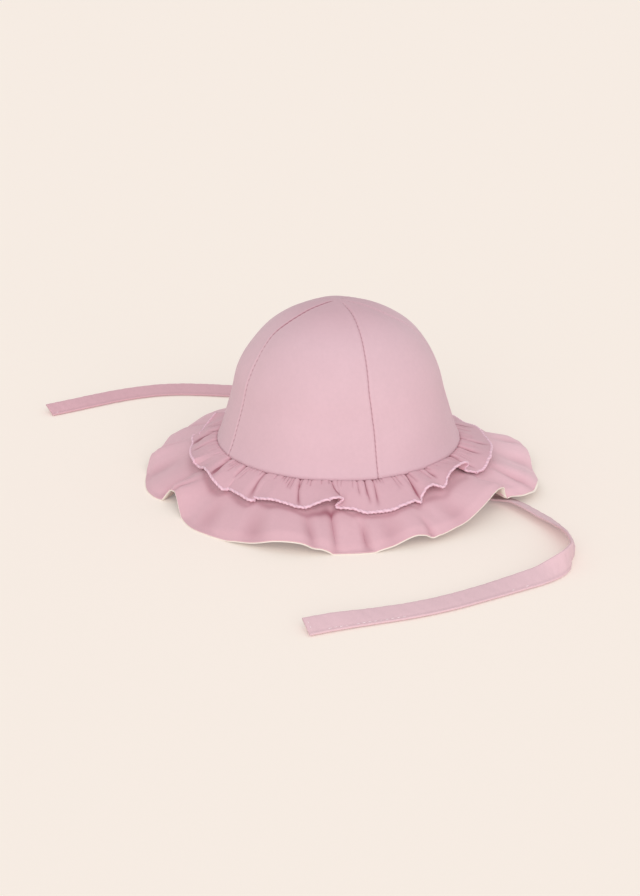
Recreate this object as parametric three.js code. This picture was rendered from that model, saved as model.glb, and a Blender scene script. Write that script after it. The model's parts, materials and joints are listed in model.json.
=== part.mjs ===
// A reversible baby sun hat: a domed crown of sewn panels over a lining, a gathered ruffle, a wavy
// brim whose cream lining shows at the hem, and two flat cloth ties that lie on the table.
// Millimetres, +Z up. The origin is on the table under the middle of the head opening, and the
// front of the hat faces -Y. Azimuths are degrees from the front, growing towards +X.
import * as THREE from 'three';

// Driving dimensions
const headGirth = 480; // round the outside of the crown, at its seam
const crownHeight = 88.6; // from the seam to the top of the crown
const seamHeight = 27; // from the table to the seam
const brimReach = 45; // from the seam out to the hem, seen from above
const hemBand = 4; // part of the brim's width that can lie flat on the table
const ruffleReach = 20; // from the seam out to the ruffle's edge, seen from above
const crownWall = 1.2;
const brimWall = 1.2;
const ruffleWall = 1;
const liningWall = 1;
const liningShow = 0.8; // how far the lining reaches past the brim's hem
const panelPuff = 1.4; // how far a crown panel bulges between its seams
const tipHole = 1.6; // radius that the panel tips leave open at the top of the crown
const gatherDepth = 1.2; // height of the small gathers along the ruffle
const gatherCount = 36;
const tieWidth = 12.2;
const tieThickness = 1.3;
const tieRest = 0.4; // height of a lying tie's lower edge over the table
const brimGrowth = 1.3; // power by which the brim's waves grow from the seam to the hem
const ruffleGrowth = 1.2;
const levelShare = 0.15; // part of a sheet beside the seam that stays level with it

// Steps of the meshes
const brimColumns = 90;
const ruffleColumns = 180;
const ruffleRows = 3;
const panelColumns = 8;
const crownRows = 10;
const liningColumns = 30;
const tieSteps = 36;

// Clearances between pieces
const clothGap = 0.35;
const ruffleClear = 1.2; // between the ruffle's edge and the brim under it
const crownLiningClear = 0.8;

const seamRadius = headGirth / (2 * Math.PI);
const brimInner = seamRadius - crownWall;
const brimSpan = brimReach + crownWall;
const hemShare = hemBand / brimSpan;
const brimStack = liningWall + clothGap + brimWall;
const ruffleStack = brimStack + clothGap;
const seamStack = ruffleStack + ruffleWall + clothGap;

// The crown's outline from its top down: heights as shares of crownHeight above the seam, radii as
// shares of the seam's radius.
const crownSections = [
  { height: 1, radius: 0 },
  { height: 0.985, radius: 0.12 },
  { height: 0.95, radius: 0.283 },
  { height: 0.88, radius: 0.451 },
  { height: 0.78, radius: 0.613 },
  { height: 0.65, radius: 0.73 },
  { height: 0.5, radius: 0.811 },
  { height: 0.35, radius: 0.857 },
  { height: 0.2, radius: 0.91 },
  { height: 0.08, radius: 0.956 },
  { height: 0, radius: 1 },
];

// Azimuths of the seams between the crown panels, in degrees.
const crownSeams = [-40, 40, 106, 177, 248];

// The waves of the brim: where the crest is and half its width, in degrees, its lift as a share of
// seamHeight, how far it pulls the hem in as a share of the brim's span, and how many degrees its
// crest leans over to the right.
const brimFolds = [
  { at: -145, wide: 24, lift: 0.34, pull: 0, lean: 0 },
  { at: -118.8, wide: 28.7, lift: 0.441, pull: -0.039, lean: 4.9 },
  { at: -87, wide: 26.7, lift: 0.381, pull: -0.008, lean: -0.3 },
  { at: -85.7, wide: 8.2, lift: -0.084, pull: 0.046, lean: 1.1 },
  { at: -38.5, wide: 11.9, lift: 0.521, pull: 0.064, lean: -3.2 },
  { at: -38.9, wide: 18.8, lift: -0.087, pull: 0.158, lean: 0 },
  { at: 4.2, wide: 22.9, lift: 0.332, pull: -0.04, lean: 5.3 },
  { at: 47.5, wide: 22, lift: 0.338, pull: 0.056, lean: -0.6 },
  { at: 50.6, wide: 6.7, lift: -0.099, pull: -0.007, lean: 0.8 },
  { at: 73.3, wide: 22.7, lift: 0.666, pull: 0.159, lean: 5.9 },
  { at: 84.9, wide: 10, lift: -0.053, pull: 0.08, lean: -2.6 },
  { at: 97.8, wide: 18.5, lift: 0.348, pull: -0.098, lean: -1.3 },
  { at: 126.4, wide: 24.7, lift: 0.365, pull: -0.058, lean: 1.3 },
  { at: 150, wide: 12, lift: 0.14, pull: 0.03, lean: 0 },
  { at: 182, wide: 18, lift: 0.3, pull: 0, lean: 0 },
];

// The waves of the ruffle over the brim, with the lift as a share of ruffleReach.
const ruffleFolds = [
  { at: -122, wide: 9, lift: 0.16, pull: 0, lean: 0 },
  { at: -102, wide: 11, lift: 0.2, pull: 0.05, lean: 2 },
  { at: -76, wide: 12, lift: 0.18, pull: 0.12, lean: 0 },
  { at: -51, wide: 13, lift: 0.2, pull: 0.24, lean: -2 },
  { at: -33, wide: 12, lift: 0.12, pull: 0.24, lean: 0 },
  { at: -16, wide: 10, lift: 0.08, pull: 0.12, lean: 0 },
  { at: -3, wide: 9, lift: 0.14, pull: 0.06, lean: 0 },
  { at: 17, wide: 8, lift: 0.56, pull: 0, lean: 3 },
  { at: 42, wide: 8, lift: -0.04, pull: -0.06, lean: 0 },
  { at: 59, wide: 7, lift: 0.3, pull: 0.08, lean: 0 },
  { at: 76, wide: 9, lift: 0.26, pull: 0.16, lean: 3 },
  { at: 103, wide: 9, lift: 0.14, pull: 0.08, lean: 0 },
  { at: 122, wide: 12, lift: 0.16, pull: 0.12, lean: 2 },
  { at: 150, wide: 9, lift: 0.2, pull: 0, lean: 0 },
  { at: 173, wide: 9, lift: 0.14, pull: 0, lean: 0 },
  { at: 197, wide: 10, lift: 0.2, pull: 0, lean: 0 },
  { at: 219, wide: 9, lift: 0.14, pull: 0, lean: 0 },
];

// The ties' routes from the seam at the ears to their free ends: the middle of the cloth seen from
// above, the rise of its lower edge as a share of the seam's height, and how many degrees its
// right-hand edge is tilted up.
const tieRoutes = {
  tie_right: [
    { x: 80, y: 0, rise: 0.667, tilt: 0 },
    { x: 89, y: -1, rise: 0.356, tilt: 0 },
    { x: 97, y: -2, rise: 0.141, tilt: 2 },
    { x: 104, y: -2.5, rise: 0.022, tilt: 6 },
    { x: 111, y: -4, rise: 0, tilt: 13 },
    { x: 118, y: -7, rise: 0, tilt: 19 },
    { x: 128, y: -14, rise: 0, tilt: 23 },
    { x: 141.5, y: -24.5, rise: 0, tilt: 22 },
    { x: 154.5, y: -38, rise: 0, tilt: 34 },
    { x: 165, y: -55.5, rise: 0, tilt: 62 },
    { x: 170.5, y: -73.5, rise: 0, tilt: 92 },
    { x: 170.5, y: -87.5, rise: 0, tilt: 66 },
    { x: 163, y: -102, rise: 0, tilt: 30 },
    { x: 151.5, y: -118, rise: 0, tilt: 21 },
    { x: 139.5, y: -134, rise: 0, tilt: 15 },
    { x: 125, y: -153, rise: 0, tilt: 14 },
    { x: 109, y: -170, rise: 0, tilt: 14 },
    { x: 92, y: -185, rise: 0, tilt: 16 },
    { x: 79.5, y: -196.5, rise: 0, tilt: 22 },
    { x: 66.5, y: -209.5, rise: 0, tilt: 24 },
  ],
  tie_left: [
    { x: -80, y: 2, rise: 0.593, tilt: 0 },
    { x: -83, y: 10, rise: 0.448, tilt: 0 },
    { x: -82, y: 20, rise: 0.263, tilt: 1 },
    { x: -79, y: 32, rise: 0.096, tilt: 3 },
    { x: -76, y: 46, rise: 0.007, tilt: 5 },
    { x: -72, y: 66, rise: 0, tilt: 6 },
    { x: -70, y: 88, rise: 0, tilt: 6 },
    { x: -73, y: 106, rise: 0, tilt: 7 },
    { x: -86, y: 120, rise: 0, tilt: 12 },
    { x: -107, y: 122, rise: 0, tilt: 18 },
    { x: -130.5, y: 115.5, rise: 0, tilt: 21 },
    { x: -149, y: 111, rise: 0, tilt: 21 },
    { x: -165, y: 105.5, rise: 0, tilt: 21 },
    { x: -179, y: 97.5, rise: 0, tilt: 21 },
    { x: -195, y: 82, rise: 0, tilt: 21 },
    { x: -208.5, y: 63, rise: 0, tilt: 22 },
    { x: -219, y: 46.5, rise: 0, tilt: 22 },
    { x: -229, y: 31.5, rise: 0, tilt: 22 },
  ],
};

const up = new THREE.Vector3(0, 0, 1);

// A point at an azimuth in degrees, a distance from the hat's axis and a height.
function aroundAxis(azimuth, radius, height) {
  const turn = THREE.MathUtils.degToRad(azimuth);
  return new THREE.Vector3(radius * Math.sin(turn), -radius * Math.cos(turn), height);
}

// What the folds of a table add at an azimuth: the sums of their lifts, pulls and leans.
function foldSums(folds, azimuth) {
  const sums = { lift: 0, pull: 0, lean: 0 };
  for (const fold of folds) {
    const away = THREE.MathUtils.euclideanModulo(azimuth - fold.at + 180, 360) - 180;
    if (Math.abs(away) >= fold.wide) continue;
    const crest = (1 + Math.cos((Math.PI * away) / fold.wide)) / 2;
    sums.lift += fold.lift * crest;
    sums.pull += fold.pull * crest;
    sums.lean += fold.lean * crest;
  }
  return sums;
}

// The underside of the brim's lining, from the seam at share 0 to the hem at share 1. It falls
// straight to the table, is raised by its folds, and lies flat where it meets the table.
function brimUnder(azimuth, share) {
  const growth = share ** brimGrowth;
  const sums = foldSums(brimFolds, azimuth);
  const fall = (seamHeight - seamStack) * (1 - share / (1 - hemShare));
  const height = Math.max(0, fall + seamHeight * sums.lift * growth);
  const radius = brimInner + brimSpan * (share - sums.pull * growth);
  return aroundAxis(azimuth + sums.lean * growth, radius, height);
}

// The same surface under a hem that reaches past the brim's, straight on along its last band.
function liningUnder(azimuth, share) {
  if (share <= 1) return brimUnder(azimuth, share);
  const past = 1 + (share - 1) / hemShare;
  const reached = brimUnder(azimuth, 1 - hemShare).lerp(brimUnder(azimuth, 1), past);
  return reached.setZ(Math.max(0, reached.z));
}

// The direction that stands on a sheet's upper side, straight up along the seam. A hem that reaches
// past share 1 takes the direction at share 1.
function upwards(surface, azimuth, share) {
  const place = Math.min(share, 1);
  const around = surface(azimuth + 0.5, place).sub(surface(azimuth - 0.5, place));
  const outer = surface(azimuth, Math.min(place + 0.01, 1));
  const outwards = outer.sub(surface(azimuth, Math.max(0, place - 0.01)));
  const standing = outwards.cross(around).normalize();
  return standing.lerp(up, 1 - THREE.MathUtils.smoothstep(share, 0, levelShare)).normalize();
}

// A surface that lies a distance over another one.
function raised(surface, distance) {
  return (azimuth, share) =>
    surface(azimuth, share).addScaledVector(upwards(surface, azimuth, share), distance);
}

// The underside of the ruffle, from the seam at share 0 to its edge at share 1: it lies on the
// brim, and its waves and small gathers stand over it.
function ruffleUnder(azimuth, share) {
  const growth = share ** ruffleGrowth;
  const sums = foldSums(ruffleFolds, azimuth);
  const gather = (1 - Math.cos(THREE.MathUtils.degToRad(azimuth * gatherCount))) / 2;
  const clear = THREE.MathUtils.lerp(clothGap, ruffleClear, Math.sqrt(share));
  const lift = clear + ruffleReach * sums.lift * growth + gatherDepth * gather * 4 * share * (1 - share);
  const reach = (ruffleReach + crownWall) * (share - sums.pull * growth);
  return raised(brimUnder, brimStack + lift)(azimuth + sums.lean * growth, reach / brimSpan);
}

// A closed solid between an under and an over surface, on a grid of columns and rows. Rows run from
// the first share to the last; columns run round from column 0, and meet it again if closed.
function sheetSolid(under, over, columns, shares, closed) {
  const positions = [];
  const index = [];
  const rowCount = shares.length;
  const columnCount = closed ? columns : columns + 1;
  for (let column = 0; column < columnCount; column += 1) {
    for (const share of shares) {
      positions.push(...under(column / columns, share).toArray());
      positions.push(...over(column / columns, share).toArray());
    }
  }
  const vertex = (column, row, side) => 2 * ((column % columnCount) * rowCount + row) + side;
  const quad = (...corners) => {
    const [a, b, c, d] = corners.map((corner) => vertex(...corner));
    index.push(a, b, c, a, c, d);
  };
  const last = rowCount - 1;
  for (let column = 0; column < columns; column += 1) {
    const next = column + 1;
    for (let row = 0; row < last; row += 1) {
      quad([column, row, 1], [column, row + 1, 1], [next, row + 1, 1], [next, row, 1]);
      quad([column, row, 0], [next, row, 0], [next, row + 1, 0], [column, row + 1, 0]);
    }
    quad([column, 0, 0], [column, 0, 1], [next, 0, 1], [next, 0, 0]);
    quad([column, last, 1], [column, last, 0], [next, last, 0], [next, last, 1]);
  }
  for (let row = 0; row < last && !closed; row += 1) {
    quad([0, row, 0], [0, row + 1, 0], [0, row + 1, 1], [0, row, 1]);
    quad([columns, row, 1], [columns, row + 1, 1], [columns, row + 1, 0], [columns, row, 0]);
  }
  const geometry = new THREE.BufferGeometry();
  geometry.setAttribute('position', new THREE.Float32BufferAttribute(positions, 3));
  geometry.setIndex(index);
  geometry.computeVertexNormals();
  return geometry;
}

// A ring of cloth of one thickness whose underside is a surface.
function ringSheet(surface, wall, columns, shares) {
  const turned = (laid) => (turn, share) => laid(360 * turn, share);
  return sheetSolid(turned(surface), turned(raised(surface, wall)), columns, shares, true);
}

const crownOutline = new THREE.SplineCurve(
  crownSections.map(
    ({ height, radius }) => new THREE.Vector2(radius * seamRadius, seamHeight + height * crownHeight),
  ),
);
const tipShare = tipHole / crownOutline.getLength();

// A point of the crown's section, as radius and height, a depth inside its outer face.
function crownPoint(share, depth) {
  const along = THREE.MathUtils.lerp(tipShare, 1, share);
  const downwards = crownOutline.getTangentAt(along);
  const outwards = new THREE.Vector2(-downwards.y, downwards.x);
  outwards.lerp(new THREE.Vector2(1, 0), THREE.MathUtils.smoothstep(share, 1 - levelShare, 1)).normalize();
  return crownOutline.getPointAt(along).addScaledVector(outwards, -depth);
}

const rowShares = (rows) => Array.from({ length: rows + 1 }, (_, row) => row / rows);

// One gore of the crown between two seams, from its tip down to the brim.
function crownPanel(fromAzimuth, toAzimuth) {
  const face = (depth) => (across, share) => {
    const puff = panelPuff * Math.sin(Math.PI * across) * Math.sin(Math.PI * share);
    const { x: radius, y: height } = crownPoint(share, depth - puff);
    const halfGap = THREE.MathUtils.radToDeg(Math.asin(clothGap / 2 / radius));
    const azimuth = THREE.MathUtils.lerp(fromAzimuth + halfGap, toAzimuth - halfGap, across);
    return aroundAxis(azimuth, radius, height);
  };
  return sheetSolid(face(crownWall), face(0), panelColumns, rowShares(crownRows), false);
}

// The crown's inner layer: a closed dome down to the level of the brim's lining.
function crownLining() {
  const outerDepth = crownWall + crownLiningClear;
  const innerDepth = outerDepth + liningWall;
  const topHeight = seamHeight + crownHeight;
  const foot = seamHeight - seamStack;
  const shares = rowShares(crownRows);
  const outer = shares.map((share) => crownPoint(share, outerDepth));
  const inner = shares.map((share) => crownPoint(share, innerDepth));
  const outline = [
    new THREE.Vector2(0, topHeight - outerDepth),
    ...outer,
    new THREE.Vector2(seamRadius - outerDepth, foot),
    new THREE.Vector2(seamRadius - innerDepth, foot),
    ...inner.reverse(),
    new THREE.Vector2(0, topHeight - innerDepth),
  ];
  return new THREE.LatheGeometry(outline.reverse(), liningColumns).rotateX(Math.PI / 2);
}

// A tie's route, whose frames keep the cloth at the tilt of its table.
class TieRoute extends THREE.CatmullRomCurve3 {
  constructor(rows) {
    super(
      rows.map(({ x, y, rise, tilt }) => {
        const turn = THREE.MathUtils.degToRad(tilt);
        const half = (tieWidth * Math.sin(turn) + tieThickness * Math.cos(turn)) / 2;
        return new THREE.Vector3(x, y, tieRest + rise * seamHeight + half);
      }),
    );
    this.tilts = rows.map(({ tilt }) => THREE.MathUtils.degToRad(tilt));
  }

  computeFrenetFrames(segments) {
    const frames = { tangents: [], normals: [], binormals: [] };
    for (let step = 0; step <= segments; step += 1) {
      const tangent = this.getTangentAt(step / segments);
      const place = this.getUtoTmapping(step / segments) * (this.tilts.length - 1);
      const before = Math.min(Math.floor(place), this.tilts.length - 2);
      const tilt = THREE.MathUtils.lerp(this.tilts[before], this.tilts[before + 1], place - before);
      const level = new THREE.Vector3().crossVectors(tangent, up).normalize();
      const normal = level.applyAxisAngle(tangent, -tilt);
      frames.tangents.push(tangent);
      frames.normals.push(normal);
      frames.binormals.push(new THREE.Vector3().crossVectors(tangent, normal));
    }
    return frames;
  }
}

// A flat cloth tie with slightly rounded edges, swept along its route.
function tie(rows) {
  const halfWidth = tieWidth / 2;
  const halfThickness = tieThickness / 2;
  const round = tieThickness * 0.3;
  const section = new THREE.Shape([
    new THREE.Vector2(round - halfWidth, -halfThickness),
    new THREE.Vector2(halfWidth - round, -halfThickness),
    new THREE.Vector2(halfWidth, round - halfThickness),
    new THREE.Vector2(halfWidth, halfThickness - round),
    new THREE.Vector2(halfWidth - round, halfThickness),
    new THREE.Vector2(round - halfWidth, halfThickness),
    new THREE.Vector2(-halfWidth, halfThickness - round),
    new THREE.Vector2(-halfWidth, round - halfThickness),
  ]);
  return new THREE.ExtrudeGeometry(section, { steps: tieSteps, extrudePath: new TieRoute(rows) });
}

const hat = new THREE.Group();

// Adds one piece of cloth to the hat under its own name.
function addPiece(name, geometry, color, roughness) {
  const piece = new THREE.Mesh(geometry, new THREE.MeshStandardMaterial({ color, roughness, metalness: 0 }));
  piece.name = name;
  hat.add(piece);
}

const pink = '#e3bbc3';
const cream = '#f4ecdf';

crownSeams.forEach((azimuth, number) => {
  const next = number + 1 < crownSeams.length ? crownSeams[number + 1] : crownSeams[0] + 360;
  addPiece(`crown_panel_${number + 1}`, crownPanel(azimuth, next), pink, 0.85);
});
addPiece('crown_lining', crownLining(), cream, 0.9);

const brimShares = [0, 0.2, 0.45, 0.7, 1 - hemShare, 1];
const liningShares = brimShares.with(-1, 1 + liningShow / brimSpan);
addPiece('brim_lining', ringSheet(liningUnder, liningWall, brimColumns, liningShares), cream, 0.9);
addPiece('brim', ringSheet(raised(brimUnder, liningWall + clothGap), brimWall, brimColumns, brimShares), pink, 0.85);
addPiece('ruffle', ringSheet(ruffleUnder, ruffleWall, ruffleColumns, rowShares(ruffleRows)), pink, 0.85);
for (const [name, rows] of Object.entries(tieRoutes)) {
  addPiece(name, tie(rows), pink, 0.85);
}

export default hat;
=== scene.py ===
"""Dresses the CAD solids of a reversible baby sun hat: cotton crown panels with sewn seams, a
gathered ruffle with an overlocked edge, a wavy brim over its cream lining, and two flat cloth ties.
Tables and lengths that repeat the CAD source are in millimetres, and azimuths are in degrees from
the front (-Y), growing towards +X."""

import json
import math

import bmesh
import bpy
import numpy as np
from mathutils import Matrix, Vector

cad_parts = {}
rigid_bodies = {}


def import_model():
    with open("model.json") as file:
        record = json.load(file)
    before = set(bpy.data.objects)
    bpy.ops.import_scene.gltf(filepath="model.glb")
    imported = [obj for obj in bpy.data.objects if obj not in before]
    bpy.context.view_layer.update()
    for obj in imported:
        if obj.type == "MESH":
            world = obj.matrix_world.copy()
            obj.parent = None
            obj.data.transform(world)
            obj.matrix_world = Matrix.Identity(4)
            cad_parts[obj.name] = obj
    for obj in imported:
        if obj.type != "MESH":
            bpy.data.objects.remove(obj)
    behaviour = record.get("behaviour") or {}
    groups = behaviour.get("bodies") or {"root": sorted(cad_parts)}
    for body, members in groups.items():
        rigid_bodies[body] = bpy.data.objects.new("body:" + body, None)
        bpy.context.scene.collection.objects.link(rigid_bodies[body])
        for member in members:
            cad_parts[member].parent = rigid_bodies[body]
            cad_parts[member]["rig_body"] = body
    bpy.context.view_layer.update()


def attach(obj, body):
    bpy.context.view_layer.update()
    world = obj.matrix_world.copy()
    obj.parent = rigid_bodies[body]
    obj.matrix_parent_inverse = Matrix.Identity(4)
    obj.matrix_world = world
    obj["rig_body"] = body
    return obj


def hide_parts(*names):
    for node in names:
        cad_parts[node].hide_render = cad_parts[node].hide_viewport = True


bl_info = {
    "name": "Reversible Baby Hat",
    "version": (1, 0, 0),
    "blender": (4, 5, 0),
    "location": "View3D > Sidebar > Baby Hat",
    "description": "Sews the cloth, seams and stitches of a reversible baby hat round its CAD solids",
    "category": "Object",
}

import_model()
MM = 0.001

# Lengths of the CAD source, in millimetres.
HEAD_GIRTH = 480
CROWN_HEIGHT = 88.6
SEAM_HEIGHT = 27
BRIM_REACH = 45
HEM_BAND = 4
RUFFLE_REACH = 20
CROWN_WALL = 1.2
BRIM_WALL = 1.2
RUFFLE_WALL = 1.0
LINING_WALL = 1.0
PANEL_PUFF = 1.4
TIE_WIDTH = 12.2
TIE_THICKNESS = 1.3
CLOTH_GAP = 0.35
RUFFLE_CLEAR = 1.2
CROWN_LINING_CLEAR = 0.8

SEAM_RADIUS = HEAD_GIRTH / (2 * math.pi)
BRIM_INNER = SEAM_RADIUS - CROWN_WALL
BRIM_SPAN = BRIM_REACH + CROWN_WALL
HEM_SHARE = HEM_BAND / BRIM_SPAN
RUFFLE_SPAN = RUFFLE_REACH + CROWN_WALL
BRIM_STACK = LINING_WALL + CLOTH_GAP + BRIM_WALL
RUFFLE_STACK = BRIM_STACK + CLOTH_GAP
SEAM_STACK = RUFFLE_STACK + RUFFLE_WALL + CLOTH_GAP

# The crown's outline from the top down: (height above the seam, radius), as shares.
CROWN_SECTIONS = (
    (1, 0), (0.985, 0.12), (0.95, 0.283), (0.88, 0.451), (0.78, 0.613), (0.65, 0.73),
    (0.5, 0.811), (0.35, 0.857), (0.2, 0.91), (0.08, 0.956), (0, 1),
)
CROWN_SEAMS = (-40, 40, 106, 177, 248)

# How far the first three seams wander from their azimuths: share of the way down, degrees.
SEAM_WANDERS = (
    ((0.02, -7), (0.11, -2), (0.21, -0.5), (0.3, -3), (0.36, -4.5), (0.42, -2.5), (0.52, -0.5), (1, 0)),
    ((0.05, 9), (0.17, 6), (0.25, 4), (0.4, 1), (0.6, -0.7), (0.78, 0.4), (1, 0)),
    ((0.1, -4), (0.2, -5), (0.26, -2), (0.36, 5), (0.5, 5), (0.75, 2), (1, 0)),
)

# Waves of the brim: azimuth of the crest, half its width, lift as a share of the seam's height,
# pull as a share of the span, and how many degrees the crest leans over.
BRIM_FOLDS = (
    (-145, 24, 0.34, 0, 0), (-118.8, 28.7, 0.441, -0.039, 4.9), (-87, 26.7, 0.381, -0.008, -0.3),
    (-85.7, 8.2, -0.084, 0.046, 1.1), (-38.5, 11.9, 0.521, 0.064, -3.2),
    (-38.9, 18.8, -0.087, 0.158, 0), (4.2, 22.9, 0.332, -0.04, 5.3), (47.5, 22, 0.338, 0.056, -0.6),
    (50.6, 6.7, -0.099, -0.007, 0.8), (73.3, 22.7, 0.666, 0.159, 5.9),
    (84.9, 10, -0.053, 0.08, -2.6), (97.8, 18.5, 0.348, -0.098, -1.3),
    (126.4, 24.7, 0.365, -0.058, 1.3), (150, 12, 0.14, 0.03, 0), (182, 18, 0.3, 0, 0),
)

# Soft creases of the brim: azimuth, half width, depth in millimetres, how many degrees they lean
# from the seam to the hem, and the shares where they begin and are deepest.
BRIM_CREASES = (
    (-128, 5, 1.0, 2, 0.35, 0.8), (-101, 4, 1.0, -2, 0.35, 0.85), (-83, 2.5, 1.5, 3, 0.4, 0.9),
    (-66, 6, 1.2, 0, 0.35, 0.8), (-50, 4, 1.1, 3, 0.35, 0.8), (-36, 2.2, 1.3, -3, 0.35, 0.9),
    (-24, 6, 1.1, 4, 0.35, 0.75), (-7, 5, 1.4, 2, 0.35, 0.85), (8, 4, 1.7, 3, 0.35, 0.8),
    (18, 3, 2.0, 2, 0.3, 0.62), (28.5, 2.6, 2.1, 2, 0.45, 0.75), (38, 6, 1.0, 0, 0.4, 0.8),
    (47, 2.2, 1.5, 2, 0.6, 0.95), (59, 5, 1.1, 0, 0.35, 0.8), (82, 2.2, 1.6, 2, 0.3, 0.95),
    (98, 3.5, 1.8, -3, 0.3, 0.75), (112, 5, 1.2, 2, 0.35, 0.85), (126, 4, 1.2, 0, 0.35, 0.8),
    (140, 5, 1.1, 2, 0.35, 0.85), (163, 5, 1.2, -2, 0.35, 0.8), (196, 5, 1.2, 2, 0.35, 0.85),
    (208, 4, 1.0, -2, 0.35, 0.8),
)

# The ruffle's edge, point by point round the hat: where on the seam its cloth starts and where the
# edge itself is, as azimuths, and how far it reaches and how high it stands over the brim.
RUFFLE_EDGE = (
    (-100.5, -96.7, 13.3, 6.4), (-98.2, -94.2, 14.9, 4.4), (-94, -91.1, 16.5, 1.6),
    (-85.7, -84.3, 14.8, 1.2), (-81.9, -78.3, 13, 2.2), (-79.4, -80.2, 16.7, 1.6),
    (-77.8, -79.9, 18.9, 1.2), (-72.8, -72.8, 16, 1.2), (-67, -66.1, 15.4, 2.2),
    (-58, -57.5, 15.2, 3.4), (-52, -51.7, 15.1, 5), (-48.1, -50.3, 15.1, 5.6),
    (-46.2, -50.1, 15.6, 4.2), (-44.1, -48.8, 15.1, 2), (-40.6, -42.2, 17.7, 1.2),
    (-36.2, -35.4, 18.8, 4.6), (-30.3, -30, 18.1, 6), (-27.7, -27, 17.9, 4.6),
    (-26.3, -25.3, 18.4, 3.4), (-24.8, -23.4, 18.6, 2.4), (-23.7, -22.3, 17.2, 1.6),
    (-22.2, -24.4, 16.3, 0.9), (-19.3, -20.5, 16.7, 2), (-14.9, -14.8, 18.9, 3.2),
    (-11.2, -10.3, 21.2, 2.2), (-10.1, -9, 19.8, 1.5), (-8.5, -10.9, 17.4, 0.8),
    (-6, -7.8, 18.6, 2), (-3.2, -4.5, 19.4, 3.2), (-0.7, -1.9, 19.3, 2.4), (3.9, 2.8, 21.3, 1.8),
    (6.8, 5.6, 23.2, 2.2), (9.5, 8.7, 22.4, 2.8), (11.6, 12, 21.1, 4), (14.1, 14.8, 19.4, 6),
    (16.8, 18.9, 16, 8), (18.8, 21.6, 16.7, 8.4), (19.9, 23.2, 15.8, 7.2), (21.3, 22, 15.9, 4.6),
    (22.6, 20.6, 15.9, 2.6), (23.4, 20.3, 16.9, 1.6), (24.5, 21.5, 18.6, 1.2),
    (26.7, 24.3, 19.5, 2.4), (28.7, 27.2, 18.9, 2), (30.6, 29.6, 20.7, 1.6), (33, 32.6, 23.2, 1.5),
    (37.2, 37.2, 23.8, 1.4), (41.3, 41.9, 25.4, 1.4), (44.8, 45.7, 23.8, 1.5),
    (47.5, 48.8, 21.4, 2), (49.1, 50.4, 23.7, 2.2), (50.9, 52.1, 21.6, 1.2),
    (52.5, 53.2, 19.1, 2.4), (55.3, 55.6, 17.6, 6), (57.1, 57.6, 17.4, 6.5), (59.2, 59.8, 19, 5),
    (60.6, 61.2, 21.2, 4), (62.4, 63.2, 20.9, 4.6), (63.7, 64.2, 18.8, 5.5), (66.1, 66.9, 16.7, 7),
    (69.1, 70.7, 16.1, 7.5), (71.7, 73.7, 16.7, 8), (73.8, 76.6, 17.2, 8), (75.2, 78, 17.6, 6),
    (76.4, 77.4, 16.4, 3.6), (77.3, 77.2, 16.6, 1.6), (78.9, 79.5, 19.3, 1.2),
    (80.7, 83.5, 20.5, 1.5), (85.7, 87.2, 21.1, 2.2), (91.8, 91, 19.7, 3.2), (96, 94.7, 18.2, 4.5),
    (101.5, 100.9, 18.1, 5), (109.5, 109.2, 17.4, 5), (115.9, 114.8, 17.5, 3.4),
    (119, 119.6, 17.5, 2.4), (122, 122, 17.5, 1.5), (127, 127, 18.6, 1.2), (135, 134.5, 19.4, 1.8),
    (142, 142.6, 18.5, 1.2), (150, 149.4, 19, 2.6), (158, 158.6, 18.5, 1.6),
    (166, 165.5, 19.4, 4.2), (174, 174.5, 18.6, 1.6), (183, 182.5, 19.4, 4.6),
    (192, 192.6, 18.5, 1.6), (200, 199.4, 19.3, 5), (208, 208.6, 18.6, 1.8),
    (216, 215.4, 19.3, 4.2), (224, 224.6, 18.5, 1.6), (232, 231.5, 19.2, 4.4),
    (240, 240.3, 18.6, 1.8), (248, 247.5, 19, 3.6), (254, 254.3, 18.4, 2.4),
)

# The long pleats that start at the ruffle's seam: azimuth, half width in degrees, depth in
# millimetres, how far they run towards the edge, and how many degrees they lean on the way.
RUFFLE_PLEATS = (
    (-88, 0.9, 1.2, 0.8, 0), (-76, 1.6, 2.4, 1.0, 5), (-62, 0.9, 1.3, 0.9, 1),
    (-36.4, 1.0, 2.4, 1.0, 3),
    (-24, 0.7, 1.4, 0.5, 0), (-12.5, 0.9, 1.0, 1.0, 1), (4.75, 0.7, 1.5, 1.0, 3),
    (18.75, 0.8, 1.3, 1.0, 1.5), (30, 0.6, 1.1, 0.5, 1), (33.5, 0.6, 1.3, 0.7, 0.5),
    (37.2, 0.7, 1.4, 0.8, -1), (53.5, 0.9, 2.2, 1.0, -2.5), (64, 0.8, 1.6, 0.6, -2),
    (84, 1.0, 1.3, 0.8, 0), (96, 0.9, 1.2, 0.7, 1), (108, 1.0, 1.2, 0.9, 0), (131, 1.0, 1.2, 0.8, 0),
    (160, 1.0, 1.3, 0.9, 1), (188, 1.0, 1.2, 0.8, -1), (210, 1.0, 1.3, 0.9, 0),
    (236, 1.0, 1.2, 0.8, 1), (252, 1.0, 1.1, 0.7, 0),
)

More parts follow.
